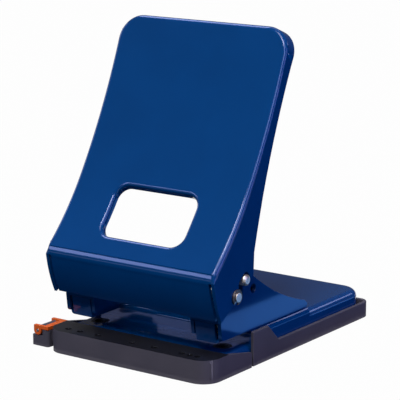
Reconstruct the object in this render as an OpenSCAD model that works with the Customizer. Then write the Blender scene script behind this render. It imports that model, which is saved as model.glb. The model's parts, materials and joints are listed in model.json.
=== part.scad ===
// Two-hole punch with a folded steel lever, a sliding paper guide and a hinged chip tray.
// The origin lies on the desk, midway between the two dies. +X is right, +Y is rear, +Z is up.

/* [Punching] */
// Distance between the two holes
hole_spacing = 80; // [76:1:82]
// Diameter of the holes
hole_d = 6; // [5:0.5:6.5]
// Distance from the hole line to the paper stop
paper_margin = 12; // [11:0.5:14]
// Height of the paper throat
throat_h = 6; // [5:0.5:7]
// Height of the punch tips above the bottom of their bushes at rest
tip_recess = 1.1; // [0.5:0.1:2]

/* [Base] */
// Distance from each hole to the side of the black base
side_margin = 12.75; // [12:0.25:17]
// Thickness of the plastic walls
wall = 2; // [1.6:0.1:2.4]
// Thickness of the base plate's sheet
plate_t = 1.5; // [1:0.1:2]
// Radius of the base plate's bent edges
edge_r = 4; // [3:0.5:5]
// Height of the punching table's top
table_z = 11.4; // [10.5:0.1:13]
// Height of the raised middle deck's top
deck_z = 19; // [18:0.5:20.5]
// Height of the rear table's top
rear_z = 16.7; // [15.5:0.1:17.5]
// Rear end of the middle deck
deck_rear = 67; // [64:1:75]
// Rear end of the black base
base_rear = 127.2; // [118:0.1:140]
// Front end of the black base, measured forward of the hole line
base_front = 30.7; // [29:0.5:36]
// Depth of the flat strip on top of the front block
strip_depth = 18.1; // [17.5:0.1:20]
// Height of the front block
block_h = 12.25; // [11.5:0.25:14]
// Height of the tray's rim
rim_z = 9.1; // [7:0.1:10]
// Height of the tray's side lugs
lug_z = 18.5; // [16:0.5:19.5]
// Rounding of the front block's front corners
corner_r = 10; // [6:0.5:14]

/* [Frame] */
// Thickness of the frame's sheet
cheek_t = 2.2; // [1.6:0.1:2.6]
// Thickness of the punch housings' sheet
housing_t = 1.9; // [1.4:0.1:2]
// Height of the pivot shaft's axis
pivot_z = 41.4; // [40:0.2:44]
// Diameter of the pivot shaft
pivot_d = 5; // [4:0.5:5]
// Diameter of the press shaft
press_d = 6; // [5:0.5:6.5]
// Distance from the pivot shaft forward of the hole line
pivot_back = 8.1; // [7.8:0.1:9]

/* [Lever] */
// Thickness of the lever's sheet
lever_t = 1.8; // [1.4:0.1:2]
// Angle of the press slot above the level at rest, degrees
slot_angle = 41.2; // [38:0.2:44]
// Swing of the lever, degrees
lever_swing = 60; // [45:1:60]
// Bend radius between the lever's face and its flanges
bend_r = 2.5; // [2.4:0.1:5]
// Rounding of the lever's top corners
top_corner_r = 14; // [10:1:20]
// Length of the face's upper arc
upper_len = 90.3; // [70:0.1:98]
// Width of the window
window_w = 52; // [40:1:60]
// Height of the window along the face
window_h = 29.6; // [20:0.1:31]

/* [Paper guide] */
// Width of the guide bar
bar_w = 7; // [6:0.5:7.5]
// Thickness of the guide bar
bar_t = 4; // [3:0.25:4]
// Length of the guide's end block
stop_len = 11.4; // [9:0.2:14]
// Diameter of the flip stop's hinge pin
stop_pin_d = 1.8; // [1.4:0.1:2]

/* [Hidden] */
$fn = 64;

// Clearances: pressed seats, running fits, sliding fits, nested sheet parts, overlap of cutting tools,
// and the step between lapped surfaces
seat_gap = 0.02;
run_gap = 0.05;
slide_gap = 0.3;
nest_gap = 0.35;
cut = 1;
seam = 0.03;
deg = 180 / PI;

// Places across the width, from the base outwards
half_w = hole_spacing / 2 + side_margin;
plate_half = half_w - wall - nest_gap;
cheek_out = plate_half - 0.2;
cheek_in = cheek_out - cheek_t;
side_gap = 2;
flange_in = cheek_out + side_gap;
flange_out = flange_in + lever_t;
pin_x = hole_spacing / 2;

// Places along the depth
plate_front = -base_front + strip_depth + slide_gap;
rear_gap = 0.8;
plate_rear = base_rear - wall - rear_gap;
block_rear = 8.1;
tray_front = block_rear + 1.5;
skirt_z = 5;
plan_r = 5;
rear_r = 12;

// The lever's face is two arcs that meet tangentially; angles are taken from the vertical
pivot = [-pivot_back, pivot_z];
press_rest_z = pivot_z + pivot_back * tan(slot_angle);
stroke = pivot_back * (tan(slot_angle) + tan(lever_swing - slot_angle));
low_r = 175;
high_r = 390;
crease_angle = 47;
joint_angle = 32;
upper_arc = upper_len / high_r * deg;
top_angle = joint_angle - upper_arc;
crease_front = 19.9;
crease_rise = 14.4;
crease = pivot + [-crease_front, crease_rise];
low_c = crease + low_r * [-cos(crease_angle), sin(crease_angle)];
joint_pt = low_c + low_r * [cos(joint_angle), -sin(joint_angle)];
high_c = joint_pt + high_r * [-cos(joint_angle), sin(joint_angle)];
top_pt = high_c + high_r * [cos(top_angle), -sin(top_angle)];

// How far the outlines that trim the lever reach past its sheet
reach = 70;

// Punch pin, its guide and its return spring
guide_z = table_z + throat_h;
guide_seat_z = guide_z + housing_t;
bush_d = hole_d + 1.4;
bush_h = 8;
bush_flange_h = 1;
spring_wire = 0.9;
spring_r = bush_d / 2 + 0.95;
spring_turns = 6.5;
spring_z = guide_seat_z + bush_flange_h;
collar_h = 2;
head_h = 11;
head_z = press_rest_z - 6;
collar_z = head_z - collar_h;
tip_z = guide_z + tip_recess;
die_d = hole_d + 4;

// Frame and housings
housing_front = -14.5;
housing_lean = 10;
housing_top = 36;
web_front = [12.6, 47.7];
web_rear = [62, 23.4];
web_sag = 2.5;
rivet_y = [30, 50];
rivet_x = cheek_in - 5.5;
rivet_d = 4;
foot_w = 10;

// Front block's channel and the paper guide
bar_y = -21.5;
bar_z = 4.1;
rail_t = 1.2;
screw_in = 18;
screw_x = pin_x - screw_in;
screw_z = 6.4;
screw_d = 2.5;
screw_len = 5;
stop_x = -half_w - slide_gap;
stop_end = stop_x - stop_len;
stop_front = -28;
stop_rear = -11.4;
ear_t = 2;
ear_r = 2.4;
stop_axis = [stop_end + 3.9, 9.1];
knuckle_r = 2.2;
flap_t = 1.8;
flap_top = stop_axis.y + 2.9;

// Tray hinge
hinge_back = 7.5;
hinge_side = 20.4;
hinge_y = plate_rear - hinge_back;
hinge_z = 10.5;
hinge_x = plate_half - hinge_side;
hinge_d = 3;
hinge_lug = 3;

// Marks on the strip, one for each paper size, measured from the middle between the holes
mark_x = [-42, -34, -22, 0.5, 14.5, 32, 37, 41.5];
mark_y = -24.4;
mark_d = 3.6;

black = "#26252b";
blue = "#0a4080";
steel = "#b9b6b2";
orange = "#e8622a";

// Points of a shallow curve from a to b that bows by sag to its left
function bow(a, b, sag, n = 12) =
    let (d = (b - a) / norm(b - a))
    [for (i = [0:n]) let (t = i / n) a + t * (b - a) + 4 * sag * t * (1 - t) * [-d.y, d.x]];

// Points on a circle about c from angle a0 to a1
function arc(c, r, a0, a1, n = 12) =
    [for (i = [0:n]) let (a = a0 + (a1 - a0) * i / n) c + r * [cos(a), sin(a)]];

// Extrudes a (y, z) outline along X between x0 and x1
module plate_x(x0, x1) {
    translate([x0, 0, 0]) rotate([90, 0, 90]) linear_extrude(x1 - x0) children();
}

// Extrudes an (x, z) outline along Y between y0 and y1
module plate_y(y0, y1) {
    translate([0, y1, 0]) rotate([90, 0, 0]) linear_extrude(y1 - y0) children();
}

// Round bar along X about the axis (y, z)
module rod_x(p, d, x0, x1) {
    translate([x0, p.x, p.y]) rotate([0, 90, 0]) cylinder(d = d, h = x1 - x0);
}

// Places children at the right and mirrored at the left
module both() {
    children();
    mirror([1, 0, 0]) children();
}

// Rectangle whose two upper corners are round
module rounded_top(x0, x1, y0, y1, r) {
    translate([x0, y0]) square([x1 - x0, y1 - y0 - r]);
    translate([x0 + r, y0]) square([x1 - x0 - 2 * r, y1 - y0]);
    for (x = [x0 + r, x1 - r]) translate([x, y1 - r]) circle(r);
}

// Rectangle with four round corners
module rounded(x0, x1, y0, y1, r) {
    rounded_top(x0, x1, y0 + r, y1, r);
    translate([x0 + r, y0]) square([x1 - x0 - 2 * r, y1 - y0 - r]);
    for (x = [x0 + r, x1 - r]) translate([x, y0 + r]) circle(r);
}

// One level of the pressed base plate, shrunk by inset on every side
module plate_level(y0, y1, top, r, inset) {
    h = plate_half - inset;
    foot = inset > 0 ? skirt_z - cut : skirt_z;
    intersection() {
        plate_x(-h, h) rounded_top(y0, y1, foot, top - inset, r - inset);
        plate_y(y0, y1) rounded_top(-h, h, foot, top - inset, edge_r - inset);
        linear_extrude(2 * top) rounded(-h, h, plate_front + inset, plate_rear - inset, plan_r - inset);
        linear_extrude(2 * top) rounded_top(-h, h, plate_front, plate_rear - inset, rear_r - inset);
    }
}

module plate_form(inset) {
    deck_r = 3;
    plate_level(plate_front + inset, paper_margin + 3 * edge_r, table_z, deck_r, inset);
    plate_level(paper_margin + inset, deck_rear - inset, deck_z, deck_r, inset);
    plate_level(deck_rear - 4 * edge_r, plate_rear - inset, rear_z, edge_r, inset);
}

module base_plate() {
    color(blue) difference() {
        plate_form(0);
        plate_form(plate_t);
        both() {
            translate([pin_x, 0, skirt_z]) cylinder(d = die_d + 2 * seat_gap, h = table_z);
            for (y = rivet_y) translate([rivet_x, y, skirt_z])
                cylinder(d = rivet_d + 2 * seat_gap, h = deck_z);
            translate([screw_x, plate_front + plate_t + cut, screw_z]) rotate([90, 0, 0])
                cylinder(d = screw_d + 2 * seat_gap, h = plate_t + 2 * cut);
        }
    }
}

// Hardened die: a bush pressed into the table from below, flush with its top
module die_bush() {
    flange_h = 1.5;
    color(steel) difference() {
        union() {
            translate([0, 0, table_z - 6]) cylinder(d = die_d, h = 6);
            translate([0, 0, table_z - plate_t - flange_h]) cylinder(d = die_d + 3, h = flange_h);
        }
        translate([0, 0, table_z - 7]) cylinder(d = hole_d + 2 * run_gap, h = 8);
    }
}

// Outline of a cheek: leaning front edge, round top behind the lever, long hollow tail
module cheek_outline() {
    crown_r = 9;
    crown_y = -4;
    crown_z = press_rest_z + 6 - crown_r;
    tail = [deck_rear - 2, deck_z + 2];
    polygon(concat(
        [[-15, deck_z], [-16.2, deck_z + 9.5]],
        arc([crown_y - 2, crown_z], crown_r, 165, 90),
        arc([crown_y + 8, crown_z], crown_r, 90, 40),
        bow(web_front, web_rear, -web_sag),
        [tail, [deck_rear - 3, deck_z]]));
}

// Opening for the press shaft's straight stroke
module press_slot(d, x0, x1) {
    rod_x([0, press_rest_z], d, x0, x1);
    rod_x([0, press_rest_z - stroke], d, x0, x1);
    translate([x0, -d / 2, press_rest_z - stroke]) cube([x1 - x0, d, stroke]);
}

module frame() {
    peep_hole = [12.7, 40.8];
    peep_d = 5;
    web_drop = [0, 1.11 * cheek_t];
    color(blue) difference() {
        union() {
            both() {
                plate_x(cheek_in, cheek_out) cheek_outline();
                translate([cheek_in - foot_w, rivet_y[0] - 6, deck_z])
                    cube([foot_w, rivet_y[1] - rivet_y[0] + 12, cheek_t]);
            }
            plate_x(-cheek_in, cheek_in) polygon(concat(
                bow(web_front, web_rear, -web_sag), bow(web_rear - web_drop, web_front - web_drop, web_sag)));
            plate_x(-cheek_in, cheek_in) polygon([web_rear, [deck_rear - 2, deck_z + 2],
                [deck_rear - 3, deck_z], [web_rear.x - 0.5, deck_z], web_rear - web_drop]);
        }
        rod_x(pivot, pivot_d + 2 * seat_gap, -flange_out, flange_out);
        press_slot(press_d + 2 * run_gap, -flange_out, flange_out);
        both() {
            rod_x(peep_hole, peep_d, cheek_in - cut, cheek_out + cut);
            for (y = rivet_y) translate([rivet_x, y, deck_z - cut])
                cylinder(d = rivet_d + 2 * seat_gap, h = cheek_t + 2 * cut);
        }
    }
}

module frame_rivets() {
    head_d = rivet_d + 3.5;
    rivet_head = 1.6;
    color(steel) both() for (y = rivet_y) translate([rivet_x, y, 0]) {
        translate([0, 0, deck_z - plate_t]) cylinder(d = rivet_d, h = plate_t + cheek_t);
        translate([0, 0, deck_z + cheek_t]) cylinder(d1 = head_d, d2 = head_d - 2, h = rivet_head);
        translate([0, 0, deck_z - plate_t - rivet_head]) cylinder(d = head_d, h = rivet_head);
    }
}

// Leaning front line of a housing at height z
function lean_y(z) = housing_front - (z - guide_z) * tan(housing_lean);

// Housing of the right punch: front plate folded under as the lower guide, inner wall, weld strip
module punch_housing() {
    wall_in = 8.7;
    plate_side = 6;
    inner = pin_x - wall_in;
    plate_in = pin_x - plate_side;
    plate_out = pin_x + plate_side;
    strip_z = 28;
    wall_z = guide_z + 3;
    rear = 8.5;
    front_x = housing_t / cos(housing_lean);
    color(blue) difference() {
        union() {
            plate_x(plate_in, plate_out) polygon([
                [lean_y(guide_z), guide_z], [lean_y(housing_top), housing_top],
                [lean_y(housing_top) + front_x, housing_top], [lean_y(guide_z) + front_x, guide_z]]);
            plate_x(inner, cheek_in) polygon([
                [lean_y(strip_z), strip_z], [lean_y(housing_top), housing_top],
                [lean_y(housing_top) + front_x, housing_top], [lean_y(strip_z) + front_x, strip_z]]);
            plate_x(inner, inner + housing_t) polygon([
                [lean_y(wall_z), wall_z], [lean_y(housing_top), housing_top],
                [housing_front + 2, housing_top - 2], [rear, housing_top - 2], [rear, wall_z]]);
            translate([plate_in, housing_front, guide_z])
                cube([cheek_in - plate_in, rear - housing_front, housing_t]);
        }
        translate([pin_x, 0, guide_z - cut]) cylinder(d = bush_d + 2 * seat_gap, h = housing_t + 2 * cut);
    }
}

module guide_bush() {
    color(steel) difference() {
        union() {
            translate([0, 0, guide_z]) cylinder(d = bush_d, h = bush_h);
            translate([0, 0, guide_seat_z]) cylinder(d = bush_d + 3, h = bush_flange_h);
        }
        translate([0, 0, guide_z - cut]) cylinder(d = hole_d + 2 * run_gap, h = bush_h + 2 * cut);
    }
}

// Return spring: one helical tube between the bush's flange and the collar
coil_rings = 8;
coil_sides = 6;
coil_n = floor(spring_turns * coil_rings);
coil_low = spring_z + spring_wire / 2;
coil_rise = collar_z - spring_z - spring_wire;
function coil_at(i) =
    let (a = 360 * i / coil_rings)
    [spring_r * cos(a), spring_r * sin(a), coil_low + coil_rise * i / coil_n];
coil_path = [for (i = [0:coil_n]) coil_at(i)];
coil_gap = min([for (i = [coil_rings:coil_n]) norm(coil_path[i] - coil_path[i - coil_rings])]) - spring_wire;
echo(least_gap_between_coils = coil_gap);

module return_spring() {
    points = [for (i = [0:coil_n], j = [0:coil_sides - 1])
        let (a = 360 * i / coil_rings, b = 360 * j / coil_sides)
        coil_path[i] + spring_wire / 2 * [cos(b) * cos(a), cos(b) * sin(a), sin(b)]];
    function id(i, j) = i * coil_sides + j % coil_sides;
    sides = [for (i = [0:coil_n - 1], j = [0:coil_sides - 1], k = [0, 1])
        k == 0 ? [id(i, j), id(i, j + 1), id(i + 1, j)] : [id(i, j + 1), id(i + 1, j + 1), id(i + 1, j)]];
    caps = [for (j = [1:coil_sides - 2], k = [0, 1])
        k == 0 ? [id(0, 0), id(0, j + 1), id(0, j)] : [id(coil_n, 0), id(coil_n, j), id(coil_n, j + 1)]];
    color(steel) polyhedron(points, concat(sides, caps));
}

// Shaft ends outside the lever: a groove for the retaining clip, then a short stub
clip_t = 0.8;
clip_x = flange_out + 0.1;
groove_d = pivot_d - 0.9;

module pivot_shaft() {
    stub = 0.8;
    end_x = clip_x + clip_t + stub;
    color(steel) difference() {
        rod_x(pivot, pivot_d, -end_x, end_x);
        both() difference() {
            rod_x(pivot, pivot_d + cut, clip_x - run_gap, clip_x + clip_t + run_gap);
            rod_x(pivot, groove_d, clip_x - cut, clip_x + clip_t + cut);
        }
    }
}

module pivot_spacers() {
    spacer_gap = 0.1;
    color(steel) both() difference() {
        rod_x(pivot, pivot_d + 4, cheek_out + spacer_gap, flange_in - spacer_gap);
        rod_x(pivot, pivot_d + 2 * run_gap, cheek_out - cut, flange_in + cut);
    }
}

module retaining_clips() {
    clip_d = pivot_d + 3.2;
    mouth = groove_d - 1.2;
    color(steel) both() translate([clip_x, pivot.x, pivot.y]) rotate([90, 0, 90])
        linear_extrude(clip_t) difference() {
            circle(d = clip_d);
            circle(d = groove_d + 2 * seat_gap);
            rotate(-110) translate([0, -mouth / 2]) square([clip_d, mouth]);
        }
}

// Plan of the front block, shrunk by inset at the front and the sides
module block_plan(inset) {
    h = half_w - inset;
    r = corner_r - inset;
    front = -base_front + inset;
    rear = inset > 0 ? block_rear + cut : block_rear;
    translate([-h, front + r]) square([2 * h, rear - front - r]);
    translate([-h + r, front]) square([2 * h - 2 * r, r + cut]);
    for (x = [-h + r, h - r]) translate([x, front + r]) circle(r);
}

module front_block() {
    strip_rear = -base_front + strip_depth;
    side_rear_z = 7.85;
    under = block_h - wall;
    rail_in = bar_w / 2 + slide_gap;
    lip_z = bar_z - slide_gap;
    lip_t = 0.9;
    lip_w = 1.3;
    pad_w = 6;
    pad_z = 4;
    mark_depth = 1;
    color(black) difference() {
        union() {
            difference() {
                linear_extrude(block_h) block_plan(0);
                translate([0, 0, -cut]) linear_extrude(under + cut) block_plan(wall);
                plate_x(-half_w - cut, half_w + cut) polygon([
                    [strip_rear, block_h], [block_rear + cut, side_rear_z],
                    [block_rear + cut, block_h + cut], [strip_rear, block_h + cut]]);
                translate([-half_w + wall, strip_rear, under - cut])
                    cube([2 * half_w - 2 * wall, block_rear - strip_rear + cut, wall + 2 * cut]);
            }
            for (s = [-1, 1]) plate_x(-half_w + wall - cut / 2, half_w - wall + cut / 2) {
                a = bar_y + s * rail_in;
                b = bar_y + s * (rail_in + rail_t);
                c = bar_y + s * (rail_in - lip_w);
                polygon([[a, under + cut / 2], [b, under + cut / 2], [b, lip_z - lip_t], [c, lip_z - lip_t],
                    [c, lip_z], [a, lip_z]]);
            }
            both() translate([screw_x - pad_w / 2, bar_y + rail_in + rail_t - cut / 2, pad_z])
                cube([pad_w, plate_front - bar_y - rail_in - rail_t + cut / 2, under - pad_z + cut / 2]);
        }
        translate([-half_w - cut, bar_y - rail_in, lip_z])
            cube([cut + corner_r / 2, 2 * rail_in, bar_t + 2 * slide_gap]);
        both() translate([screw_x, plate_front + cut, screw_z]) rotate([90, 0, 0])
            cylinder(d = screw_d + 2 * seat_gap, h = screw_len + cut);
        for (x = mark_x) translate([x, mark_y, block_h - mark_depth]) cylinder(d = mark_d, h = cut);
    }
}

module block_screws() {
    screw_head = 1.5;
    head_d = screw_d + screw_head;
    key_w = screw_d - 0.6;
    key_depth = 0.8;
    color(steel) both() translate([screw_x, plate_front + plate_t, screw_z]) rotate([90, 0, 0]) difference() {
        union() {
            cylinder(d = screw_d, h = screw_len);
            translate([0, 0, -screw_head]) cylinder(d = head_d, h = screw_head);
        }
        translate([0, 0, -screw_head - cut]) cylinder(d = key_w, h = key_depth + cut, $fn = 6);
    }
}

// Leaf spring under the strip that presses on the guide bar
module guide_detent_spring() {
    leaf_t = 0.4;
    leaf_w = 4;
    leaf_x = [-half_w + 8.75, -half_w + 26.75];
    top = block_h - wall;
    drop = top - leaf_t - bar_z - bar_t - slide_gap;
    curve = bow([leaf_x[0], top], [leaf_x[1], top], -drop);
    color(steel) plate_y(bar_y - leaf_w / 2, bar_y + leaf_w / 2) polygon(concat(
        curve, [for (i = [len(curve) - 1:-1:0]) curve[i] - [0, leaf_t]]));
}

module tray_hinge_brackets() {
    bracket_t = 2;
    bracket_foot = 6;
    bracket_x = hinge_x + hinge_lug / 2 + slide_gap;
    top = rear_z - plate_t;
    color(steel) both() {
        plate_x(bracket_x, bracket_x + bracket_t) difference() {
            union() {
                translate([hinge_y - hinge_lug, hinge_z]) square([2 * hinge_lug, top - hinge_z]);
                translate([hinge_y, hinge_z]) circle(hinge_lug);
            }
            translate([hinge_y, hinge_z]) circle(d = hinge_d + 2 * seat_gap);
        }
        translate([bracket_x + bracket_t - cut / 2, hinge_y - hinge_lug, top - bracket_t])
            cube([bracket_foot, 2 * hinge_lug, bracket_t]);
    }
}

module tray_hinge_pins() {
    pin_in = hinge_x - hinge_lug / 2 - slide_gap;
    pin_past = 2.6;
    pin_out = hinge_x + hinge_lug / 2 + slide_gap + pin_past;
    head = 1;
    color(steel) both() {
        rod_x([hinge_y, hinge_z], hinge_d, pin_in, pin_out);
        rod_x([hinge_y, hinge_z], hinge_d + 1.6, pin_in - head, pin_in);
    }
}

// Solid cross-section of the lever behind its face: radius along x, width along y, front corners round
module face_section(r, inset) {
    h = flange_out - inset;
    least_bend = 0.5;
    b = max(bend_r - inset, least_bend);
    translate([r + inset + b, -h]) square([reach - b, 2 * h]);
    translate([r + inset, -h + b]) square([b + cut, 2 * h - 2 * b]);
    for (y = [-h + b, h - b]) translate([r + inset + b, y]) circle(b);
}

// The space behind the lever's face, shrunk by inset, from the crease to the round top corners.
// The arcs lap at their joint, where the upper one is set back by the seam.
module lever_form(inset) {
    top_over = 6;
    lap = 0.6;
    tilt = (joint_angle + top_angle) / 2 - 4;
    len_top = norm(top_pt - crease) + reach;
    start = (fold_len - (inset > 0 ? cut : 0)) / low_r * deg;
    r = top_corner_r - inset;
    h = flange_out - inset;
    intersection() {
        union() {
            translate([0, low_c.x, low_c.y]) rotate([90, 0, 90]) rotate(start - crease_angle)
                rotate_extrude(angle = crease_angle - joint_angle + lap - start) face_section(low_r, inset);
            translate([0, high_c.x, high_c.y]) rotate([90, 0, 90]) rotate(-joint_angle)
                rotate_extrude(angle = upper_arc + top_over) face_section(high_r, inset + seam);
        }
        translate([0, top_pt.x, top_pt.y]) rotate([-tilt, 0, 0]) plate_y(-reach, 2 * reach)
            rounded_top(-h, h, -len_top, -inset, r);
    }
}

// Side outline of the flanges: deep at the pivot, narrow at the top
module flange_outline() {
    tip = crease + [6.7, -25.2];
    rear_low = pivot + [15.3, 8.2];
    rear_mid = pivot + [15.9, 20];
    rear_high = top_pt + [9.5, -3];
    apron_edge = [for (p = apron_line(0)) if (p.y > tip.y) p];
    polygon(concat(
        [top_pt + [-reach, 30], top_pt + [14, 30], rear_high],
        bow(rear_high, rear_mid, -3.6),
        [rear_low, tip],
        [for (i = [len(apron_edge) - 1:-1:0]) apron_edge[i]],
        [crease + [-reach, 0]]));
}

// Outer line of the folded apron, from the fold down, moved in by inset
apron_r = 72;
apron_a0 = 5;
apron_a1 = 25.5;
fold_r = 8;
apron_half = cheek_in + cheek_t + 0.4;
fold_len = fold_r * tan((crease_angle + apron_a0) / 2);
face_dir = [sin(crease_angle), cos(crease_angle)];
depth_dir = [cos(crease_angle), -sin(crease_angle)];
fold_c = crease + fold_len * face_dir + fold_r * depth_dir;
apron_c = crease + apron_r * [cos(apron_a0), sin(apron_a0)];
apron_start = 180 + apron_a0 + fold_len / apron_r * deg;
function apron_line(inset) = arc(apron_c, apron_r - inset, apron_start, 180 + apron_a1);

// Rounded fold between the face and the apron; it laps both
module fold_outline() {
    lap = 8;
    start = 180 - crease_angle - lap;
    end = 180 + apron_a0 + lap;
    polygon(concat(arc(fold_c, fold_r, start, end), arc(fold_c, fold_r - lever_t, end, start)));
}

// Joins the fold to the flanges, down to the slit between apron and flange
module fold_web() {
    lap = 3;
    start = 180 - crease_angle - lap;
    end = 180 + apron_a0;
    polygon(concat(arc(fold_c, fold_r - seam, start, end), arc(fold_c, fold_r - lever_t + seam, end, start)));
}

module window_hole(inset) {
    low_edge = 12.9;
    mid_angle = (crease_angle + joint_angle) / 2;
    corner = 7;
    w = window_w / 2 - inset;
    translate([0, crease.x, crease.y]) rotate([-mid_angle, 0, 0]) plate_y(-reach, reach)
        rounded(-w, w, low_edge + inset, low_edge + window_h - inset, corner - inset);
}

module lever() {
    rim_depth = 4;
    flange_lap = 6;
    flange_joint = crease + fold_len * face_dir + (bend_r + 0.5) * depth_dir;
    slot_d = press_d + 1.5;
    slot_over = 0.5;
    slot_dir = [cos(slot_angle), sin(slot_angle)];
    slot_in = pivot + (pivot_back - slot_over) * slot_dir;
    slot_out = pivot + (pivot_back / cos(slot_angle) + slot_over) * slot_dir;
    color(blue) difference() {
        union() {
            difference() {
                intersection() {
                    lever_form(0);
                    plate_x(-flange_out - cut, flange_out + cut) flange_outline();
                }
                lever_form(lever_t);
            }
            both() plate_x(flange_in, flange_out) intersection() {
                flange_outline();
                polygon(concat(arc(fold_c, fold_r, 180 + apron_a0, 180 - crease_angle), [
                    flange_joint, flange_joint + flange_lap * face_dir,
                    flange_joint + flange_lap * face_dir + reach * depth_dir,
                    crease + [10, -reach], crease + [-10, -reach]]));
            }
            both() plate_x(apron_half - 1, flange_in + 1) fold_web();
            plate_x(-apron_half, apron_half) {
                fold_outline();
                polygon(concat(apron_line(0), [for (i = [12:-1:0]) apron_line(lever_t)[i]]));
            }
            intersection() {
                lever_form(lever_t / 2);
                difference() {
                    window_hole(-lever_t);
                    lever_form(rim_depth);
                }
            }
        }
        window_hole(0);
        rod_x(pivot, pivot_d + 2 * run_gap, -flange_out - cut, flange_out + cut);
        for (p = [slot_in, slot_out]) rod_x(p, slot_d, -flange_out - cut, flange_out + cut);
        translate([0, slot_in.x, slot_in.y]) rotate([slot_angle, 0, 0])
            translate([-flange_out - cut, 0, -slot_d / 2])
                cube([2 * flange_out + 2 * cut, norm(slot_out - slot_in), slot_d]);
    }
}

module press_shaft() {
    end_x = flange_out + 1.5;
    color(steel) rod_x([0, press_rest_z], press_d, -end_x, end_x);
}

module punch_pin() {
    tip_hollow = 0.9;
    head_d = max(press_d, hole_d) + 3.6;
    color(steel) difference() {
        union() {
            translate([0, 0, tip_z]) cylinder(d = hole_d, h = head_z - tip_z + cut);
            translate([0, 0, head_z]) cylinder(d = head_d, h = head_h);
        }
        translate([0, 0, tip_z + tip_hollow - hole_d]) rotate([90, 0, 0])
            cylinder(r = hole_d, h = 2 * hole_d, center = true);
        rod_x([0, press_rest_z], press_d + 2 * seat_gap, -hole_d * 2, hole_d * 2);
    }
}

module spring_collar() {
    color(steel) difference() {
        translate([0, 0, collar_z]) cylinder(d = hole_d + 4.4, h = collar_h);
        translate([0, 0, collar_z - cut]) cylinder(d = hole_d + 2 * seat_gap, h = collar_h + 2 * cut);
    }
}

// The bar ends inside the end block at the left and just short of the block's right wall
bar_end = stop_end + 6;

module guide_bar() {
    right = half_w - wall - 1.5;
    color(black) translate([bar_end, bar_y - bar_w / 2, bar_z]) cube([right - bar_end, bar_w, bar_t]);
}

module guide_end_block() {
    foot = 0.8;
    ledge_z = stop_axis.y - ear_r - slide_gap;
    flap_under = flap_top - flap_t - slide_gap;
    neck = [stop_front + ear_t + slide_gap, stop_rear - ear_t - slide_gap];
    side_r = 1.5;
    color(black) difference() {
        union() {
            translate([0, 0, foot]) linear_extrude(ledge_z - foot)
                rounded(stop_end, stop_x, stop_front, stop_rear, side_r);
            translate([0, 0, foot]) linear_extrude(flap_under - foot)
                rounded(stop_axis.x + ear_r + slide_gap, stop_x, stop_front, stop_rear, side_r);
            plate_y(neck[0], neck[1]) {
                translate(stop_axis) circle(knuckle_r);
                translate([stop_axis.x - knuckle_r, ledge_z - cut])
                    square([2 * knuckle_r, stop_axis.y - ledge_z + cut]);
            }
            plate_y(neck[0], neck[1]) translate([stop_axis.x, ledge_z - cut])
                square([ear_r + 1, stop_axis.y - ledge_z + cut]);
        }
        translate([bar_end - seat_gap, bar_y - bar_w / 2 - seat_gap, bar_z - seat_gap])
            cube([stop_len + cut, bar_w + 2 * seat_gap, bar_t + 2 * seat_gap]);
        translate([stop_axis.x, stop_rear + cut, stop_axis.y]) rotate([90, 0, 0])
            cylinder(d = stop_pin_d + 2 * seat_gap, h = stop_rear - stop_front + 2 * cut);
    }
}

module stop_hinge_pin() {
    color(steel) translate([stop_axis.x, stop_rear, stop_axis.y]) rotate([90, 0, 0])
        cylinder(d = stop_pin_d, h = stop_rear - stop_front);
}

// Flip stop: a flap with two ears; its notch leaves room for the knuckle
module flip_stop() {
    flap_end = stop_x - 0.2;
    notch = knuckle_r + 1.7;
    color(orange) difference() {
        union() {
            translate([stop_axis.x, stop_front, flap_top - flap_t])
                cube([flap_end - stop_axis.x, stop_rear - stop_front, flap_t]);
            for (y = [stop_front, stop_rear - ear_t]) plate_y(y, y + ear_t) translate(stop_axis) {
                circle(ear_r);
                translate([-ear_r, 0]) square([2 * ear_r, flap_top - stop_axis.y]);
            }
        }
        translate([stop_axis.x - ear_r, stop_front + ear_t, stop_axis.y])
            cube([ear_r + notch, stop_rear - stop_front - 2 * ear_t, 2 * ear_r]);
        translate([stop_axis.x, stop_rear + cut, stop_axis.y]) rotate([90, 0, 0])
            cylinder(d = stop_pin_d + 2 * run_gap, h = stop_rear - stop_front + 2 * cut);
    }
}

// Plan of the tray, shrunk by inset; the front is open towards the dies
module tray_plan(inset) {
    h = half_w - inset;
    r = 6 - inset;
    front = inset > 0 ? tray_front - cut : tray_front;
    rear = base_rear - inset;
    translate([-h, front]) square([2 * h, rear - front - r]);
    translate([-h + r, front]) square([2 * h - 2 * r, rear - front]);
    for (x = [-h + r, h - r]) translate([x, rear - r]) circle(r);
}

module chip_tray() {
    tongue_half = half_w - wall - 1.5;
    tongue_front = -10.5;
    lip_h = 1;
    lug_depth = 14.2;
    lug_slope = 9.6;
    color(black) difference() {
        union() {
            difference() {
                linear_extrude(rim_z) tray_plan(0);
                translate([0, 0, wall]) linear_extrude(rim_z) tray_plan(wall);
            }
            both() plate_x(half_w - wall, half_w) polygon([
                [tray_front, 0], [tray_front, lug_z], [tray_front + lug_depth, lug_z],
                [tray_front + lug_depth + lug_slope, rim_z], [tray_front + lug_depth + lug_slope, 0]]);
            translate([-tongue_half, tongue_front, 0])
                cube([2 * tongue_half, tray_front - tongue_front + cut, wall]);
            translate([-tongue_half, tongue_front, 0]) cube([2 * tongue_half, 1.2, wall + lip_h]);
            both() plate_x(hinge_x - hinge_lug / 2, hinge_x + hinge_lug / 2) {
                translate([hinge_y, hinge_z]) circle(hinge_lug);
                translate([hinge_y - hinge_lug, wall - cut / 2])
                    square([2 * hinge_lug, hinge_z - wall + cut / 2]);
            }
        }
        both() rod_x([hinge_y, hinge_z], hinge_d + 2 * run_gap, hinge_x - hinge_lug, hinge_x + hinge_lug);
    }
}

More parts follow.
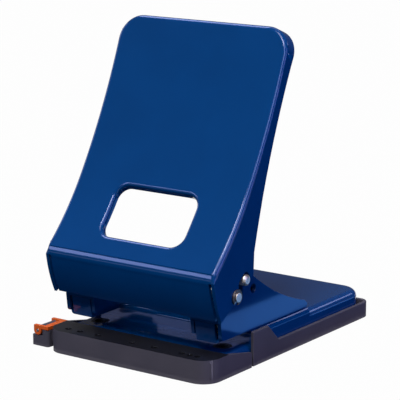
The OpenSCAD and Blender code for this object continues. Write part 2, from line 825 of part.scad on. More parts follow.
base_plate();
translate([-pin_x, 0, 0]) die_bush();  // die_bush_left
translate([pin_x, 0, 0]) die_bush();  // die_bush_right
frame();
frame_rivets();
mirror([1, 0, 0]) punch_housing();  // punch_housing_left
punch_housing();  // punch_housing_right
translate([-pin_x, 0, 0]) guide_bush();  // guide_bush_left
translate([pin_x, 0, 0]) guide_bush();  // guide_bush_right
translate([-pin_x, 0, 0]) return_spring();  // return_spring_left
translate([pin_x, 0, 0]) return_spring();  // return_spring_right
pivot_shaft();
pivot_spacers();
retaining_clips();
front_block();
block_screws();
guide_detent_spring();
tray_hinge_brackets();
tray_hinge_pins();
lever();
press_shaft();
translate([-pin_x, 0, 0]) punch_pin();  // punch_pin_left
translate([pin_x, 0, 0]) punch_pin();  // punch_pin_right
translate([-pin_x, 0, 0]) spring_collar();  // spring_collar_left
translate([pin_x, 0, 0]) spring_collar();  // spring_collar_right
guide_bar();
guide_end_block();
stop_hinge_pin();
flip_stop();
chip_tray();
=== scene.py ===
"""Looks of the two-hole punch: pressed and enamelled steel lever and base, black mouldings, bright steel works."""

import json
import math

import bmesh
import bpy
from mathutils import Matrix, Vector


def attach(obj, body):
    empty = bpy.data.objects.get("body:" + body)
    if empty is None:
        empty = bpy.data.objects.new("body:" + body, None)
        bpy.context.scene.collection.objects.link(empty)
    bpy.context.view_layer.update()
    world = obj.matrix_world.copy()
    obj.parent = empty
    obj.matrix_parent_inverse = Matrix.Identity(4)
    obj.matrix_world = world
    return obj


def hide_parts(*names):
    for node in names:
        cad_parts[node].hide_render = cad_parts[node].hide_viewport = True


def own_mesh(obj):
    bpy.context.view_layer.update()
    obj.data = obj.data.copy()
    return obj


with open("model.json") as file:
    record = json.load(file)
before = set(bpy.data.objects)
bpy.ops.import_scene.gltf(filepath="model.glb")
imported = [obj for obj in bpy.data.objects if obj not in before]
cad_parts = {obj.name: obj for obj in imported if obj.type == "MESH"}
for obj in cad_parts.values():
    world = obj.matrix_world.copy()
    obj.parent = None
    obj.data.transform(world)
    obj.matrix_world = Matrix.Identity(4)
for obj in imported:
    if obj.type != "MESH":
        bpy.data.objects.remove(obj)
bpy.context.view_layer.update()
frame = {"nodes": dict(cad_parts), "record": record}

MM = 0.001
bodies = frame["record"]["behaviour"]["bodies"]
body_of = {node: body for body, nodes in bodies.items() for node in nodes}
slot_of = {name: node.data.materials[0].name for name, node in frame["nodes"].items()}


# Materials

def linear(code):
    """An sRGB hex colour as linear RGBA."""
    parts = [int(code[i:i + 2], 16) / 255 for i in (1, 3, 5)]
    return [c / 12.92 if c <= 0.04045 else ((c + 0.055) / 1.055) ** 2.4 for c in parts] + [1.0]


def per_mm(size):
    """Scale of a pattern on Object coordinates whose features are size millimetres wide."""
    return 1 / (size * MM)


def add(tree, kind, links=None, **settings):
    """Adds a shader node; settings are its properties or its inputs' values, links are {input: source socket}."""
    node = tree.nodes.new("ShaderNode" + kind)
    for name, value in settings.items():
        label = name.replace("_", " ")
        if label in node.inputs:
            node.inputs[label].default_value = value
        else:
            setattr(node, name, value)
    for name, source in (links or {}).items():
        tree.links.new(source, node.inputs[name])
    return node


def new_material(name):
    """An empty material with its output node; returns the material, its tree and the output."""
    material = bpy.data.materials.new(name)
    material.use_nodes = True
    material.node_tree.nodes.clear()
    return material, material.node_tree, add(material.node_tree, "OutputMaterial")


def two_tones(tree, factor, low, high):
    """A colour that drifts from one hex tone to another with a factor socket."""
    node = add(tree, "ValToRGB", {"Fac": factor})
    for element, position, code in zip(node.color_ramp.elements, (0.3, 0.7), (low, high)):
        element.position = position
        element.color = linear(code)
    return node.outputs["Color"]


def shade(tree, output, colour, roughness, bump, **settings):
    """Puts a shader with a colour, a roughness and a bump on a material's surface."""
    shader = add(tree, "BsdfPrincipled", {"Base Color": colour, "Roughness": roughness.outputs["Result"],
                                          "Normal": bump.outputs["Normal"]}, **settings)
    tree.links.new(shader.outputs["BSDF"], output.inputs["Surface"])


def stoved_enamel():
    """Stoved gloss enamel on pressed steel: a deep blue wet skin with a faint orange peel in its reflections."""
    material, tree, output = new_material("stoved_blue_enamel")
    coords = add(tree, "TexCoord").outputs["Object"]
    drift = add(tree, "TexNoise", {"Vector": coords}, Scale=per_mm(24), Detail=3.0)
    colour = two_tones(tree, drift.outputs["Fac"], "#00417f", "#004484")
    peel = add(tree, "TexNoise", {"Vector": coords}, Scale=per_mm(2.6), Detail=2.0)
    bump = add(tree, "Bump", {"Height": peel.outputs["Fac"]}, Strength=0.12, Distance=0.05 * MM)
    skin = add(tree, "MapRange", {"Value": drift.outputs["Fac"]}, To_Min=0.07, To_Max=0.1)
    shade(tree, output, colour, skin, bump, IOR=1.5, Specular_Tint=linear("#d4d8f6"))
    return material


def moulded_abs(name, low, high, roughness, specular):
    """Moulded ABS: one solid colour with the fine spark-eroded grain of its mould, dull with a soft sheen."""
    material, tree, output = new_material(name)
    coords = add(tree, "TexCoord").outputs["Object"]
    grain = add(tree, "TexNoise", {"Vector": coords}, Scale=per_mm(0.6), Detail=2.0)
    drift = add(tree, "TexNoise", {"Vector": coords}, Scale=per_mm(18), Detail=3.0)
    colour = two_tones(tree, drift.outputs["Fac"], low, high)
    bump = add(tree, "Bump", {"Height": grain.outputs["Fac"]}, Strength=0.25, Distance=0.05 * MM)
    sheen = add(tree, "MapRange", {"Value": grain.outputs["Fac"]},
                To_Min=roughness - 0.06, To_Max=roughness + 0.06)
    shade(tree, output, colour, sheen, bump, IOR=1.54, Specular_IOR_Level=specular)
    return material


def steel(name, low, high, roughness):
    """Bare or treated steel: metal grey that drifts between two tones, with fine tool lines and duller stains."""
    material, tree, output = new_material(name)
    coords = add(tree, "TexCoord").outputs["Object"]
    stain = add(tree, "TexNoise", {"Vector": coords}, Scale=per_mm(5), Detail=4.0)
    lines = add(tree, "TexNoise", {"Vector": coords}, Scale=per_mm(0.5), Detail=2.0)
    colour = two_tones(tree, stain.outputs["Fac"], low, high)
    gloss = add(tree, "MapRange", {"Value": stain.outputs["Fac"]},
                To_Min=roughness - 0.08, To_Max=roughness + 0.08)
    bump = add(tree, "Bump", {"Height": lines.outputs["Fac"]}, Strength=0.15, Distance=0.02 * MM)
    shade(tree, output, colour, gloss, bump, Metallic=1.0)
    return material


finishes = {
    "blue_enamel": stoved_enamel(),
    "black_plastic": moulded_abs("moulded_black_abs", "#504d58", "#58545f", 0.58, 0.25),
    "orange_plastic": moulded_abs("moulded_orange_abs", "#f0661c", "#fa7628", 0.4, 0.3),
    "bright_steel": steel("turned_zinc_plated_steel", "#d8c8b4", "#f2e6d6", 0.42),
}
# A smoother, far darker copy of the black plastic for the front block's top: painted shade
painted_shade_black = moulded_abs("painted_shade_top_abs", "#18181d", "#1c1c21", 0.3, 0.4)
# Near-black fill for the marks' recesses: painted shade
mark_shade = moulded_abs("painted_shade_in_marks", "#040405", "#070708", 0.6, 0.05)
phosphated = steel("phosphated_spring_steel", "#5c524c", "#786c64", 0.42)
hardened = steel("blackened_tool_steel", "#24262c", "#34363e", 0.45)
spring_wire = steel("drawn_spring_wire", "#9a9894", "#b6b4b0", 0.3)
treated = {"retaining_clips": phosphated, "die_bush_left": hardened, "die_bush_right": hardened,
           "return_spring_left": spring_wire, "return_spring_right": spring_wire}


def finish_of(node):
    """The finish of a CAD node: its own where it is treated, or else its slot's."""
    return treated.get(node, finishes[slot_of[node]])


# Sizes of the pressings

# The lever's sheet: its thickness, the radius of its side bends and half the flat between them
SHEET = 1.8 * MM
BEND_R = 2.5 * MM
FLAT_HALF = 51.5 * MM

# The lever's face in profile (y, z): a lower and an upper arc that meet at JOINT_ANGLE from the vertical, and a
# fold that takes the place of the sharp crease at the lower arc's foot
CREASE = Vector((-28, 55.8)) * MM
LOW_R, HIGH_R, HIGH_LENGTH = 175 * MM, 390 * MM, 90.3 * MM
LOW_ANGLE, JOINT_ANGLE = 47, 32
TOP_ANGLE = JOINT_ANGLE - math.degrees(HIGH_LENGTH / HIGH_R)
FOLD_R, FOLD_FROM, FOLD_TO = 8 * MM, 133, 185


def on_arc(angle):
    """Unit vector (y, z) from an arc's centre to its point at an angle from the vertical."""
    return Vector((math.cos(math.radians(angle)), -math.sin(math.radians(angle))))


crease_out = on_arc(LOW_ANGLE)
fold_reach = math.tan(math.radians((FOLD_TO - FOLD_FROM) / 2))
fold_centre = CREASE + FOLD_R * (fold_reach * Vector((-crease_out.y, crease_out.x)) + crease_out)
low_centre = CREASE - LOW_R * crease_out
high_centre = low_centre + (LOW_R - HIGH_R) * on_arc(JOINT_ANGLE)

# Each arc of the face: centre, radius, and its lower and upper end's angle from the vertical
FACE_ARCS = ((low_centre, LOW_R, LOW_ANGLE, JOINT_ANGLE), (high_centre, HIGH_R, JOINT_ANGLE, TOP_ANGLE))

# The base plate's thickness and the height of its rear table in millimetres
PLATE = 1.5 * MM
TABLE_TOP = 16.7

# The outlines of the window, of the lever's top end and of the base's rear table, each in a plane that leans from
# the vertical by an angle through an origin: half width, lower and upper edge, corner radius, quadrants of its
# round corners, its straight edges' outward directions, how deep a point lies under the unrolled skin, the side of
# it where the sheet is (1 outside, -1 inside), the radius of the sheet's roll there, and how far a face must turn
# to the front to be rolled
WINDOW = {"lean": (LOW_ANGLE + JOINT_ANGLE) / 2, "origin": CREASE,
          "half": 26 * MM, "low": 12.9 * MM, "high": 42.5 * MM, "corner": 7 * MM,
          "quadrants": ((1, 1), (-1, 1), (-1, -1), (1, -1)), "edges": ((0, 1), (0, -1), (1, 0), (-1, 0)),
          "depth": lambda co: (co.yz - low_centre).length - LOW_R,
          "sheet": 1, "roll": 2 * MM, "facing": 0.5}
TOP = {"lean": (JOINT_ANGLE + TOP_ANGLE) / 2 - 4, "origin": high_centre + HIGH_R * on_arc(TOP_ANGLE),
       "half": 54 * MM, "low": -60 * MM, "high": 0, "corner": 14 * MM,
       "quadrants": ((1, 1), (-1, 1)), "edges": ((0, 1),),
       "depth": lambda co: (co.yz - high_centre).length - HIGH_R,
       "sheet": -1, "roll": BEND_R, "facing": 0.05}
TABLE = {"lean": 90, "origin": Vector((0, TABLE_TOP)) * MM,
         "half": 50.4 * MM, "low": 40 * MM, "high": 124.4 * MM, "corner": 12 * MM,
         "quadrants": ((1, 1), (-1, 1)), "edges": (),
         "depth": lambda co: TABLE_TOP * MM - co.z,
         "sheet": -1, "roll": 4 * MM, "facing": 0.05}

# The paper-size marks along the front block's top, in millimetres, and the height above which its rim is eased
MARK_XS = (-42, -34, -22, 0.5, 14.5, 32, 37, 41.5)
MARK_Y = -24.4
BLOCK_RIM = 12.2 * MM

# How close to a cut an existing vertex is taken as on it: in the face's narrow strips, and elsewhere
STRIP_SNAP = 0.0005 * MM
CUT_SNAP = 0.002 * MM

# Degrees by which a hard edge turns
HARD = 40


# Pieces

def new_piece(bm, name, material):
    """Makes a bmesh an object of the scene, with one material."""
    mesh = bpy.data.meshes.new(name)
    bm.to_mesh(mesh)
    bm.free()
    mesh.materials.append(material)
    piece = bpy.data.objects.new(name, mesh)
    bpy.context.scene.collection.objects.link(piece)
    return piece


def place(bm, name, node):
    """Makes a bmesh the piece that stands for a CAD node, on the node's body and in its slot."""
    piece = new_piece(bm, name, finish_of(node))
    piece.data.shade_smooth()
    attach(piece, body_of[node])
    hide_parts(node)
    return piece


def parts_of(faces):
    """Faces with their edges and vertices, as a bmesh operator takes them."""
    return list({part for face in faces for part in (face, *face.edges, *face.verts)})


def weld(bm):
    """Merges the vertices that cuts leave next to each other and drops faces without area."""
    bmesh.ops.remove_doubles(bm, verts=bm.verts, dist=0.02 * MM)
    bmesh.ops.dissolve_degenerate(bm, edges=bm.edges, dist=0.01 * MM)


def turn_of(out):
    """Angle of a (y, z) vector, in degrees from 0 to 360."""
    return math.degrees(math.atan2(out.y, out.x)) % 360


def arc_angle(out):
    """Angle from the vertical of the point on an arc that a (y, z) vector from its centre leads to."""
    return math.degrees(math.atan2(-out.y, out.x))


def round_fold(bm):
    """Cuts the fold below the lever's face into narrow strips and sets them on its true inner and outer radius."""
    strips = 16
    for step in range(strips + 1):
        turn = math.radians(FOLD_FROM + (FOLD_TO - FOLD_FROM) * step / strips)
        near = [face for face in bm.faces if (face.calc_center_median().yz - fold_centre).length < 1.2 * FOLD_R]
        bmesh.ops.bisect_plane(bm, geom=parts_of(near), dist=CUT_SNAP, plane_co=(0, *fold_centre),
                               plane_no=(0, -math.sin(turn), math.cos(turn)))
    for vert in bm.verts:
        out = vert.co.yz - fold_centre
        for radius in (FOLD_R, FOLD_R - SHEET):
            if abs(out.length - radius) < 0.06 * MM and FOLD_FROM - 0.5 < turn_of(out) < FOLD_TO + 0.5:
                vert.co.y, vert.co.z = fold_centre + out.normalized() * radius


def bend_fold_ends(bm):
    """Lets the face's side bends run on round the fold and fade out towards the slits beside the apron."""
    fade = 25
    for vert in bm.verts:
        out = vert.co.yz - fold_centre
        reach = abs(vert.co.x) - FLAT_HALF
        on_fold = FOLD_FROM - 1 < turn_of(out) < FOLD_TO and -1.2 * BEND_R < out.length - FOLD_R < 0.1 * MM
        if reach > 0 and on_fold:
            bend = BEND_R - math.sqrt(max(BEND_R * BEND_R - reach * reach, 0))
            short = max(bend - FOLD_R + out.length, 0) * min((FOLD_TO - turn_of(out)) / fade, 1)
            vert.co.y, vert.co.z = fold_centre + out.normalized() * (out.length - short)


def even_cuts(bm, centre, radius, low, high):
    """Angles for cuts across an arc that part the strips between the CAD's own creases evenly."""
    strip = 0.55
    own = [low, high]
    for vert in bm.verts:
        out = vert.co.yz - centre
        angle = arc_angle(out)
        on_crease = abs(abs(vert.co.x) - FLAT_HALF) < 0.05 * MM and abs(out.length - radius) < 0.05 * MM
        if on_crease and high < angle < low and min(abs(angle - known) for known in own) > 0.1:
            own.append(angle)
    own.sort()
    cuts = []
    for first, last in zip(own, own[1:]):
        parts = max(round((last - first) / strip), 1)
        cuts += [first + (last - first) * part / parts for part in range(1, parts)]
    return cuts


def rolled_face(bm):
    """Cuts the lever's coarse CAD arcs into narrow strips and sets them on their true radii, so that the
    rolled sheet and its side bends reflect without facets."""
    bend_steps = 8

    def cut(plane_co, plane_no):
        """Cuts the whole mesh along a plane."""
        bmesh.ops.bisect_plane(bm, geom=bm.verts[:] + bm.edges[:] + bm.faces[:], dist=STRIP_SNAP,
                               plane_co=plane_co, plane_no=plane_no)

    def skin_depth(x, bend, inset):
        """How far the outer or inner skin lies behind the face's radius at a distance from the middle."""
        reach = max(abs(x) - FLAT_HALF, 0)
        return inset + bend - math.sqrt(max(bend * bend - reach * reach, 0))

    def on_skin(vert, out):
        """Whether a vertex is on a face that follows the arc, and not only on an edge of the sheet."""
        along = Vector((0, -out.y, out.x)).normalized()
        depth = Vector((0, out.x, out.y)).normalized()
        least = 0.8 if abs(vert.co.x) < FLAT_HALF else -0.1
        return any(abs(face.normal.dot(along)) < 0.3 and abs(face.normal.dot(depth)) > least
                   for face in vert.link_faces)

    for step in range(1, bend_steps):
        reach = FLAT_HALF + BEND_R * math.sin(math.radians(90 * step / bend_steps))
        for side in (-1, 1):
            cut((side * reach, 0, 0), (1, 0, 0))
    for centre, radius, low, high in FACE_ARCS:
        for angle in even_cuts(bm, centre, radius, low, high):
            turn = math.radians(angle)
            cut((0, *centre), (0, math.sin(turn), math.cos(turn)))
        bm.normal_update()
        for vert in bm.verts:
            out = vert.co.yz - centre
            if not (on_skin(vert, out) and high - 0.01 < arc_angle(out) < low + 0.01):
                continue
            for bend, inset in ((BEND_R, 0), (BEND_R - SHEET, SHEET)):
                if abs(vert.co.x) > FLAT_HALF + bend + 0.01 * MM:
                    continue
                target = radius + skin_depth(vert.co.x, bend, inset)
                if abs(out.length - target) < 0.45 * MM:
                    vert.co.y, vert.co.z = centre + out.normalized() * target
                    break


def roll_edge(bm, outline):
    """Rolls the sheet over at an outline: cuts the skin beside it into narrow rings and sinks them along a round."""
    lean = math.radians(outline["lean"])
    up = Vector((0, math.sin(lean), math.cos(lean)))
    front = Vector((0, -math.cos(lean), math.sin(lean)))
    origin = Vector((0, *outline["origin"]))
    half, low, high, corner, roll = (outline[key] for key in ("half", "low", "high", "corner", "roll"))
    turns, sectors = 7, 16
    rings = [outline["sheet"] * roll * (1 - math.cos(math.radians(90 * turn / turns)))
             for turn in range(1, turns + 1)]

    def spot(co):
        """Place (sideways, up) of a point in the outline's plane."""
        return Vector((co.x, (co - origin).dot(up)))

    def inset(co):
        """How far a point lies into the sheet from the outline."""
        middle = (low + high) / 2
        past = Vector((abs(co.x) - half + corner, abs(spot(co).y - middle) - high + middle + corner))
        gap = past.length if min(past) > 0 else max(past)
        return outline["sheet"] * (gap - corner)

    def facing():
        """The faces that look to the front."""
        return [face for face in bm.faces if face.normal.dot(front) > outline["facing"]]

    def skin():
        """The faces that look to the front beside the outline."""
        return [face for face in facing()
                if any(-0.1 * MM < inset(vert.co) < 1.2 * roll for vert in face.verts)]

    def cut(faces, point, normal):
        """Cuts faces along a line in the outline's plane and returns them with the new ones."""
        found = bmesh.ops.bisect_plane(bm, geom=parts_of(faces), dist=CUT_SNAP,
                                       plane_co=origin + Vector((point.x, 0, 0)) + point.y * up,
                                       plane_no=Vector((normal.x, 0, 0)) + normal.y * up)["geom"]
        return [part for part in found if isinstance(part, bmesh.types.BMFace)]

    for column in (half - corner, half + 2 * outline["sheet"] * roll):
        for side in (-1, 1):
            beside = [face for face in facing()
                      if any(low - 3 * roll < spot(vert.co).y < high + 3 * roll for vert in face.verts)]
            cut(beside, Vector((side * column, 0)), Vector((1, 0)))
    centres = [Vector((across * (half - corner), (high if above > 0 else low) - above * corner))
               for across, above in outline["quadrants"]]
    for (across, above), centre in zip(outline["quadrants"], centres):
        first = math.degrees(math.atan2(above, across)) - 45
        near = [face for face in skin()
                if any((spot(vert.co) - centre).length < corner + 3 * roll for vert in face.verts)]
        rays = [Vector((math.cos(turn), math.sin(turn))) for turn in
                (math.radians(first + 45 * step / sectors) for step in range(2 * sectors + 1))]
        for ray in rays[::2]:
            near = cut(near, centre, Vector((-ray.y, ray.x)))
        spread = math.cos(math.radians(45 / sectors))
        for ray in rays[1::2]:
            wedge = [face for face in near
                     if (spot(face.calc_center_median()) - centre).normalized().dot(ray) > spread]
            for ring in rings:
                wedge = cut(wedge, centre + (corner + ring) * spread * ray, ray)
    for edge in outline["edges"]:
        normal = Vector(edge)
        middle = Vector((half * normal.x, (high + low) / 2 + (high - low) / 2 * normal.y))
        straight = (high - low) / 2 - corner if normal.x else half - corner
        near = [face for face in skin()
                if abs((spot(face.calc_center_median()) - middle).cross(normal)) < straight
                and (spot(face.calc_center_median()) - middle).dot(normal) > -2 * roll]
        for ring in rings:
            near = cut(near, middle + ring * normal, normal)
    bm.normal_update()
    lowest = min(point.y for point in centres) if outline["sheet"] < 0 else -1
    for vert in {vert for face in facing() for vert in face.verts}:
        gap = roll - max(inset(vert.co), 0)
        if inset(vert.co) < -0.15 * MM or gap < 0 or spot(vert.co).y < lowest - 0.1 * MM:
            continue
        vert.co -= front * (roll - math.sqrt(roll * roll - gap * gap) - outline["depth"](vert.co))


def hard_edges(bm):
    """The hard edges of a closed mesh."""
    return [edge for edge in bm.edges if edge.is_manifold and edge.calc_face_angle() > math.radians(HARD)]


def mid(edge):
    """Middle of an edge."""
    return (edge.verts[0].co + edge.verts[1].co) / 2


def runs(edge, axis):
    """Whether an edge runs along axis 0, 1 or 2."""
    span = edge.verts[1].co - edge.verts[0].co
    return abs(span[axis]) > 0.99 * span.length


def ease(bm, edges, width, segments=3):
    """Rounds edges to a width in millimetres."""
    bmesh.ops.bevel(bm, geom=edges, offset=width * MM, offset_type="OFFSET", affect="EDGES", segments=segments,
                    profile=0.5, material=-1, clamp_overlap=True, loop_slide=True)


def eased(width, segments=3):
    """A shape for dressed() that rounds every hard edge to a width in millimetres."""
    return lambda bm: ease(bm, hard_edges(bm), width, segments)


def dressed(node, shape):
    """A copy of a CAD node with its loose triangles merged, then shaped, that stands for the node."""
    bm = bmesh.new()
    bm.from_mesh(frame["nodes"][node].data)
    bmesh.ops.remove_doubles(bm, verts=bm.verts, dist=0.002 * MM)
    bmesh.ops.dissolve_limit(bm, angle_limit=math.radians(0.3), use_dissolve_boundaries=False,
                             verts=bm.verts, edges=bm.edges, delimit=set())
    shape(bm)
    piece = place(bm, node + "_dressed", node)
    piece.data.set_sharp_from_angle(angle=math.radians(HARD))
    flat = piece.modifiers.new("flats_stay_flat", "WEIGHTED_NORMAL")
    flat.keep_sharp = True
    return piece


def pressed_lever(bm):
    """Smooths the lever's fold and face, and rolls its window, its top and its edges."""
    def in_window(edge):
        return abs(mid(edge).x) < 28 * MM and 60 * MM < mid(edge).z < 100 * MM

    def on_flange_front(edge):
        return abs(mid(edge).x) > 53.8 * MM and mid(edge).y < -20.6 * MM and 30 * MM < mid(edge).z < 58 * MM

    round_fold(bm)
    weld(bm)
    rolled_face(bm)
    bm.normal_update()
    roll_edge(bm, WINDOW)
    roll_edge(bm, TOP)
    weld(bm)
    ease(bm, [edge for edge in hard_edges(bm) if on_flange_front(edge)], 1.5, 4)
    bend_fold_ends(bm)
    ease(bm, [edge for edge in hard_edges(bm) if not in_window(edge)], 0.3, 2)


def pressed_plate(bm):
    """Rolls the rear table's corners over like its straight edges, inside as well as outside."""
    bm.normal_update()
    roll_edge(bm, TABLE)
    bm.normal_update()
    outside = {vert for face in bm.faces if face.normal.z > TABLE["facing"] for vert in face.verts}
    roll, corner = TABLE["roll"], TABLE["corner"]
    for vert in set(bm.verts) - outside:
        past = Vector((abs(vert.co.x) - TABLE["half"] + corner, vert.co.y - TABLE["high"] + corner))
        gap = roll - corner + past.length
        if min(past) > 0 and 0 < gap < roll:
            vert.co.z = min(vert.co.z, TABLE_TOP * MM - PLATE - roll + math.sqrt(roll * roll - gap * gap))
    weld(bm)
    ease(bm, hard_edges(bm), 0.3, 2)


def pressed_frame(bm):
    """Rounds the bend at the frame's front lip, then every hard edge a little."""
    lip = Vector((-15, 19)) * MM
    ease(bm, [edge for edge in hard_edges(bm)
              if runs(edge, 0) and (mid(edge).yz - lip).length < 0.3 * MM], 1.8, 5)
    ease(bm, hard_edges(bm), 0.3, 2)


def pressed_housing(bm):
    """Rounds the lower corners of a punch housing, then every hard edge a little."""
    near = 0.1 * MM
    low = min(vert.co.z for vert in bm.verts)
    sides = [pick(vert.co.x for vert in bm.verts) for pick in (min, max)]
    ease(bm, [edge for edge in hard_edges(bm) if runs(edge, 1) and mid(edge).z - low < near
              and min(abs(mid(edge).x - side) for side in sides) < near], 2, 5)
    ease(bm, hard_edges(bm), 0.3, 2)


def moulded_block(bm):
    """Rounds the front block's upper rim, but not the rims of its marks."""
    ease(bm, [edge for edge in hard_edges(bm)
              if mid(edge).z > BLOCK_RIM and abs(mid(edge).y - MARK_Y * MM) > 1.4 * MM], 1.0)


def paint_shade_on_top(block):
    """Gives the front block's top, down into its marks, a smoother and far darker copy of its black plastic beside
    its grained sides: painted shade, the top made darker than the same plastic on the sides.
    """
    block.data.materials.append(painted_shade_black)
    for face in block.data.polygons:
        spot = face.center
        in_mark = abs(spot.x) < 45 * MM and abs(spot.y - MARK_Y * MM) < 2 * MM and spot.z > 11.3 * MM
        if in_mark or face.normal.z > 0.9 and spot.z > BLOCK_RIM:
            face.material_index = 1


def wound_spring(hand, side):
    """A return spring of round wire with closed end turns."""
    wire_r, coil_r, foot, top = 0.45 * MM, 4.65 * MM, 20.3 * MM, 40.49 * MM
    pin_x = side * 40 * MM
    closed, steps = 2 * wire_r, 28
    rise = top - foot - 2 * wire_r - 2 * closed
    bm = bmesh.new()
    start = Matrix.Translation((pin_x + coil_r, 0, foot + wire_r)) @ Matrix.Rotation(math.radians(90), 4, "X")
    ring = bmesh.ops.create_circle(bm, cap_ends=True, segments=12, radius=wire_r, matrix=start)["verts"]
    geom = ring + list({part for vert in ring for part in (*vert.link_edges, *vert.link_faces)})
    for turns, climb in ((1, closed), (4.5, rise), (1, closed)):
        count = round(turns * steps)
        geom = bmesh.ops.spin(bm, geom=geom, cent=(pin_x, 0, 0), axis=(0, 0, 1), dvec=(0, 0, climb / count),
                              angle=math.radians(360 * turns), steps=count, use_merge=False)["geom_last"]
    bmesh.ops.recalc_face_normals(bm, faces=bm.faces)
    spring = place(bm, "return_spring_" + hand + "_wound", "return_spring_" + hand)
    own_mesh(spring)


def painted_shade_marks():
    """The paper-size marks: near-black discs that fill the small recesses along the front block's top, painted shade
    for the depth of the recesses.
    """
    bm = bmesh.new()
    for x in MARK_XS:
        bmesh.ops.create_cone(bm, cap_ends=True, segments=32, radius1=1.75 * MM, radius2=1.75 * MM,
                              depth=0.15 * MM, matrix=Matrix.Translation(Vector((x, MARK_Y, 11.525)) * MM))
    marks = new_piece(bm, "painted_shade_marks", mark_shade)
    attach(marks, body_of["front_block"])


dressed("lever", pressed_lever)
dressed("base_plate", pressed_plate)
dressed("frame", pressed_frame)
paint_shade_on_top(dressed("front_block", moulded_block))
dressed("chip_tray", eased(0.5))
dressed("guide_end_block", eased(0.3))
dressed("flip_stop", eased(0.3))
for hand in ("left", "right"):
    dressed("punch_housing_" + hand, pressed_housing)
for node in ("press_shaft", "pivot_shaft"):
    dressed(node, eased(1.6, 6))
for node in ("stop_hinge_pin", "retaining_clips"):
    dressed(node, eased(0.2))
painted_shade_marks()
wound_spring("left", -1)
wound_spring("right", 1)
for name, node in frame["nodes"].items():
    node.data.materials[0] = finish_of(name)


# Camera, floor and light, in metres

MIDDLE = (0, 0.03, 0.08)
FELT, COOL, WHITE = "#0a0a10", "#c8d5ff", "#ffffff"


def aim(obj, target):
    """Turns an object so that its -Z looks at a point."""
    obj.rotation_euler = (Vector(target) - obj.location).to_track_quat("-Z", "Y").to_euler()


def set_camera():
    """A long lens from the right front, a little above the part."""
    camera = bpy.data.objects.new("camera", bpy.data.cameras.new("camera"))
    camera.data.lens = 169.2
    camera.data.sensor_width = 36
    camera.location = (0.5683, -0.7592, 0.2957)
    camera.rotation_euler = (math.radians(90 - 12.65), 0, math.radians(35.55))
    bpy.context.scene.collection.objects.link(camera)
    bpy.context.scene.camera = camera


def pale_floor():
    """Pale paper floor: seen white by the camera and in reflections, and still shaded by the object."""
    material, tree, output = new_material("pale_paper_floor")
    paper = add(tree, "BsdfDiffuse", Color=linear("#6c6c70"))
    white = add(tree, "Emission", Color=linear(WHITE), Strength=1.0)
    path = add(tree, "LightPath")
    mirrored = add(tree, "Math", {0: path.outputs["Is Glossy Ray"], 1: path.outputs["Is Transmission Ray"]},
                   operation="MAXIMUM")
    seen = add(tree, "Math", {0: path.outputs["Is Camera Ray"], 1: mirrored.outputs["Value"]},
               operation="MAXIMUM")
    share = add(tree, "Math", {0: seen.outputs["Value"]}, operation="MULTIPLY")
    share.inputs[1].default_value = 0.985
    mix = add(tree, "MixShader", {"Fac": share.outputs["Value"]})
    tree.links.new(paper.outputs["BSDF"], mix.inputs[1])
    tree.links.new(white.outputs["Emission"], mix.inputs[2])
    tree.links.new(mix.outputs["Shader"], output.inputs["Surface"])
    bm = bmesh.new()
    bmesh.ops.create_grid(bm, x_segments=1, y_segments=1, size=6)
    floor = new_piece(bm, "floor", material)


def softbox(name, location, target, size, power, tint=WHITE):
    """A soft rectangular lamp that looks at a point."""
    lamp = bpy.data.lights.new(name, "AREA")
    lamp.shape = "RECTANGLE"
    lamp.size, lamp.size_y = size
    lamp.energy = power
    lamp.color = linear(tint)[:3]
    box = bpy.data.objects.new(name, lamp)
    box.location = location
    aim(box, target)
    bpy.context.scene.collection.objects.link(box)


def card(name, centre, target, size, tint, glow):
    """A studio card that only the gloss on the object sees: a dark one keeps a flank's colour, a lit one draws a
    line of light along a bend."""
    material, tree, output = new_material("card_" + name)
    light = add(tree, "Emission", Color=linear(tint), Strength=glow)
    tree.links.new(light.outputs["Emission"], output.inputs["Surface"])
    bm = bmesh.new()
    turn = (Vector(target) - Vector(centre)).to_track_quat("Z", "Y").to_matrix().to_4x4()
    bmesh.ops.create_grid(bm, x_segments=1, y_segments=1, size=0.5,
                          matrix=Matrix.Translation(centre) @ turn @ Matrix.Diagonal((*size, 1, 1)))
    piece = new_piece(bm, name, material)
    piece.visible_camera = piece.visible_diffuse = piece.visible_shadow = piece.visible_transmission = False


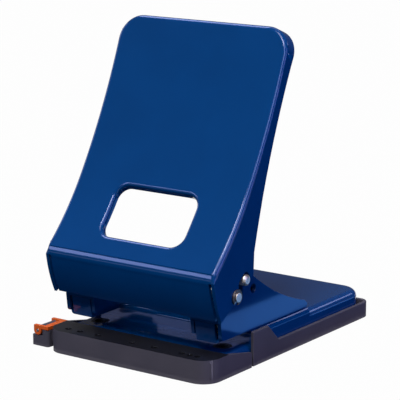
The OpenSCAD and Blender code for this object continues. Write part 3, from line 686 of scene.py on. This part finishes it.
def studio_sky():
    """A dim, cool sky that brightens towards the zenith."""
    world = bpy.data.worlds.new("studio")
    world.use_nodes = True
    tree = world.node_tree
    height = add(tree, "SeparateXYZ", {"Vector": add(tree, "TexCoord").outputs["Generated"]})
    glow = add(tree, "MapRange", {"Value": height.outputs["Z"]},
               From_Min=0.0, From_Max=0.9, To_Min=0.08, To_Max=0.25)
    background = tree.nodes["Background"]
    background.inputs["Color"].default_value = linear("#cfcdf0")
    tree.links.new(glow.outputs["Result"], background.inputs["Strength"])
    bpy.context.scene.world = world


set_camera()
pale_floor()
card("right_flag", (0.111, 0.1025, 0.1), (0.05, 0.1025, 0.1), (0.105, 0.2), FELT, 1)
card("floor_flag", (-0.26, -0.25, 0.002), (-0.26, -0.25, 1), (1, 0.6), FELT, 1)
card("near_floor", (0.0695, 0.1, 0.001), (0.0695, 0.1, 1), (0.031, 0.4), FELT, 1)
card("blue_floor", (0.18, 0.2, 0.001), (0.18, 0.2, 1), (0.19, 0.7), "#62a8ff", 2)
card("back_wall", (-0.55, 0.85, 0.2), MIDDLE, (0.9, 0.4), WHITE, 0.11)
card("back_bank", (0.43, 0.85, 0.452), MIDDLE, (0.25, 0.16), COOL, 4)
card("right_bank", (0.457, -0.354, 0.68), MIDDLE, (0.36, 0.62), COOL, 6)
card("low_bank", (-0.55, -0.72, 0.36), MIDDLE, (0.7, 0.28), COOL, 7)
card("top_bank", (-0.55, 0.15, 0.9), (0, 0.04, 0.17), (0.5, 0.3), COOL, 8)
card("left_bank", (-0.9, -0.06, 0.39), MIDDLE, (0.25, 0.4), COOL, 4)
softbox("key_softbox", (0.4, -1.07, 1.7), MIDDLE, (0.6, 0.6), 18)
softbox("top_softbox", (0.05, -0.4, 1.25), (0, -0.02, 0.02), (0.6, 0.6), 6)
softbox("back_softbox", (-0.6, 0.9, 1.6), MIDDLE, (1.2, 0.9), 3)
softbox("right_fill", (1.7, 0.4, 0.7), MIDDLE, (0.8, 0.8), 8, "#b4a8ff")
studio_sky()
bpy.context.scene.view_settings.view_transform = "Standard"

bpy.context.view_layer.update()
